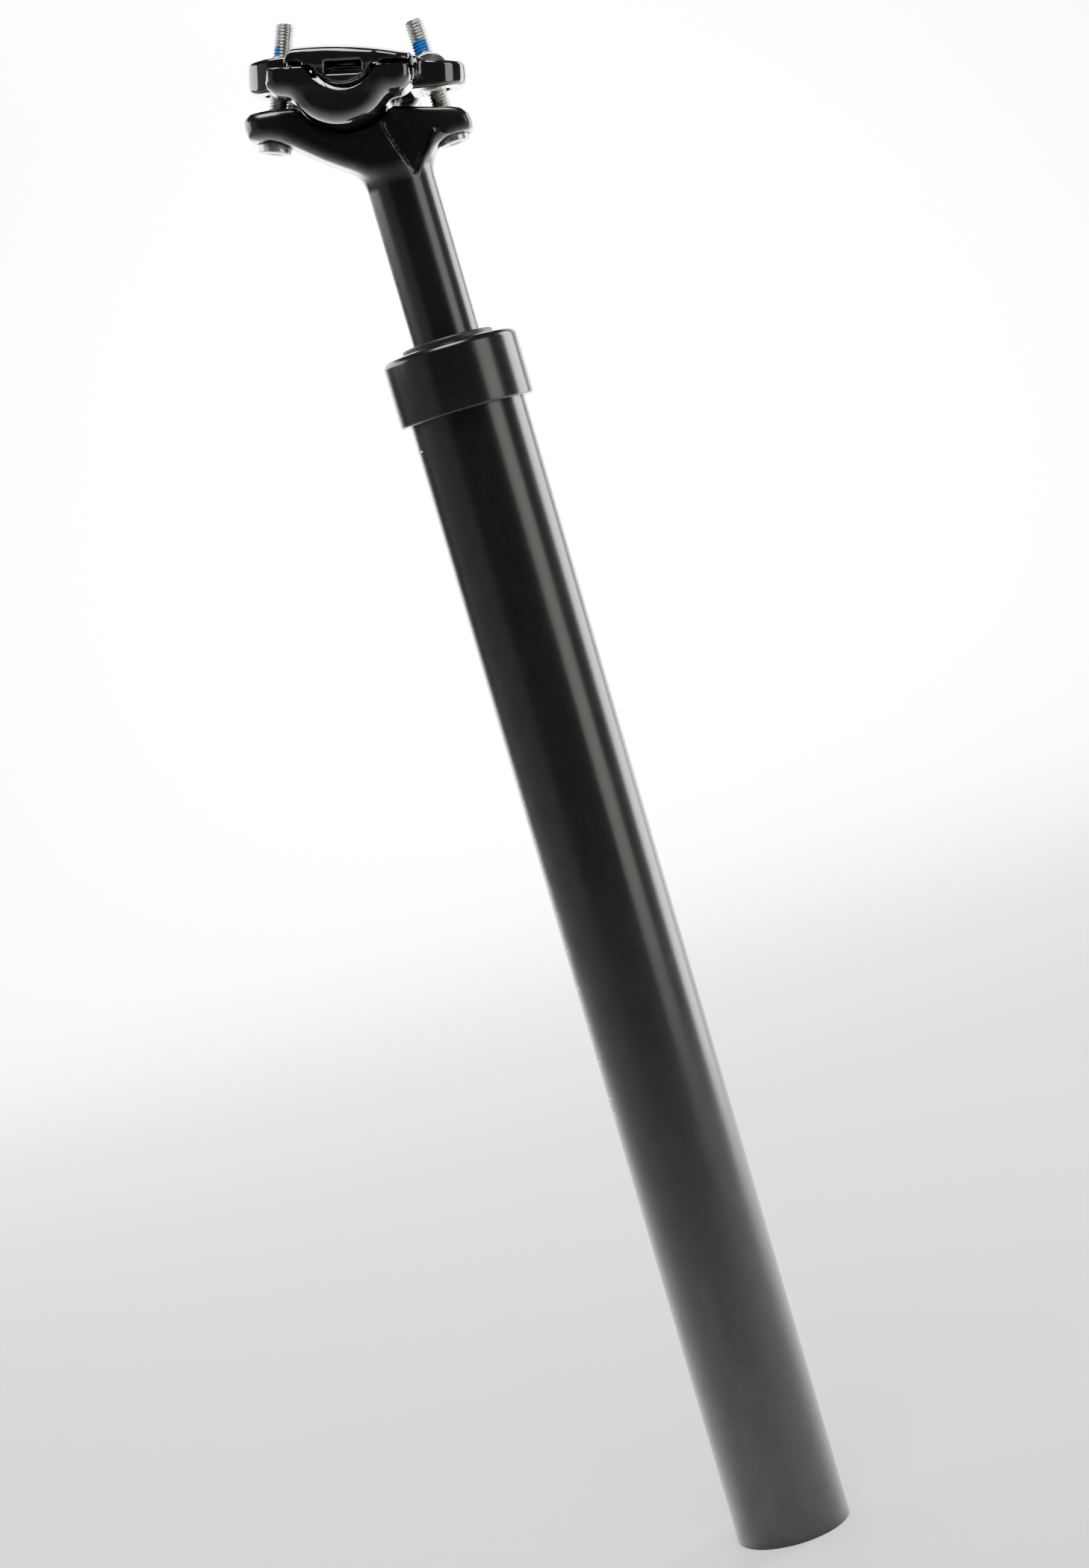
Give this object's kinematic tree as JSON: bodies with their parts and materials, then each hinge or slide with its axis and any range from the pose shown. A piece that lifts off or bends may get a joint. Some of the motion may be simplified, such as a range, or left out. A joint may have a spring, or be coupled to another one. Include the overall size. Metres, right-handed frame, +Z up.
{
  "type": "suspension seatpost",
  "caption": "Telescoping bicycle seatpost: a sprung post slides in an outer tube and carries a two-bolt tilting saddle rail clamp.",
  "frame": {"origin": "centre of the outer tube's lower end", "axes": "+Z up the tube, +X to the front of the bicycle, +Y to its left"},
  "size_m": [0.0599, 0.054, 0.4187],
  "materials": {
    "tube_black": "satin black anodised",
    "forged_black": "glossy black anodised",
    "clamp_black": "polished black anodised",
    "bright_steel": "bright zinc-free stainless",
    "spring_steel": "plain spring steel",
    "elastomer": "matt polyurethane",
    "black_plastic": "moulded acetal",
    "pale_nylon": "moulded nylon",
    "seal_rubber": "matt rubber"
  },
  "bodies": {
    "outer": {"outer_tube": "tube_black", "upper_bushing": "black_plastic", "wiper_seal": "seal_rubber", "collar_nut": "tube_black", "collar_o_ring": "seal_rubber"},
    "spring_base": {"spring_seat": "spring_steel", "main_spring": "spring_steel", "elastomer_bumper": "elastomer"},
    "adjuster": {"preload_plug": "black_plastic"},
    "post": {"post_head": "forged_black", "guide_bushing": "pale_nylon", "guide_keys": "spring_steel", "guide_circlip": "spring_steel", "spring_cap": "black_plastic", "top_out_bumper": "elastomer"},
    "clamp": {"lower_cradle": "clamp_black", "upper_clamp": "clamp_black"},
    "front_bolt_set": {"front_bolt": "bright_steel", "front_washer": "bright_steel"},
    "rear_bolt_set": {"rear_bolt": "bright_steel", "rear_washer": "bright_steel"},
    "front_nut": {"front_barrel_nut": "bright_steel"},
    "rear_nut": {"rear_barrel_nut": "bright_steel"}
  },
  "joints": [
    {"name": "suspension_travel", "type": "slide", "parent": "outer", "child": "post", "axis": [0, 0, 1], "range_m": [-0.04, 0], "stiffness_N_per_m": 15000, "springref_m": 0.01, "deforming": ["main_spring"]},
    {"name": "clamp_tilt", "type": "hinge", "parent": "post", "child": "clamp", "pos_m": [-0.0066, 0, 0.3988], "axis": [0, 1, 0], "range_deg": [-7, 7]},
    {"name": "front_bolt_swing", "type": "hinge", "parent": "post", "child": "front_bolt_set", "pos_m": [0.01629, 0, 0.3729], "axis": [0, 1, 0], "range_deg": [-3, 3]},
    {"name": "rear_bolt_swing", "type": "hinge", "parent": "post", "child": "rear_bolt_set", "pos_m": [-0.03039, 0, 0.38362], "axis": [0, 1, 0], "range_deg": [-3, 3]},
    {"name": "front_nut_turn", "type": "hinge", "parent": "clamp", "child": "front_nut", "pos_m": [0.01534, 0, 0.39468], "axis": [0, 1, 0], "range_deg": [-10, 10]},
    {"name": "rear_nut_turn", "type": "hinge", "parent": "clamp", "child": "rear_nut", "pos_m": [-0.02226, 0, 0.4046], "axis": [0, 1, 0], "range_deg": [-10, 10]},
    {"name": "preload_turn", "type": "hinge", "parent": "spring_base", "child": "adjuster", "pos_m": [0, 0, 0.008], "axis": [0, 0, 1], "range_deg": [0, 1440]},
    {"name": "preload_slide", "type": "slide", "parent": "outer", "child": "spring_base", "axis": [0, 0, 1], "range_m": [0, 0.0061], "deforming": ["main_spring"]}
  ],
  "couplings": [
    {"joint": "front_bolt_swing", "follows": "clamp_tilt", "ratio": -0.2327},
    {"joint": "rear_bolt_swing", "follows": "clamp_tilt", "ratio": -0.0113},
    {"joint": "front_nut_turn", "follows": "clamp_tilt", "ratio": -1.2327},
    {"joint": "rear_nut_turn", "follows": "clamp_tilt", "ratio": -1.0113},
    {"joint": "preload_slide", "follows": "preload_turn", "m_per_rad": 0.00023873}
  ]
}
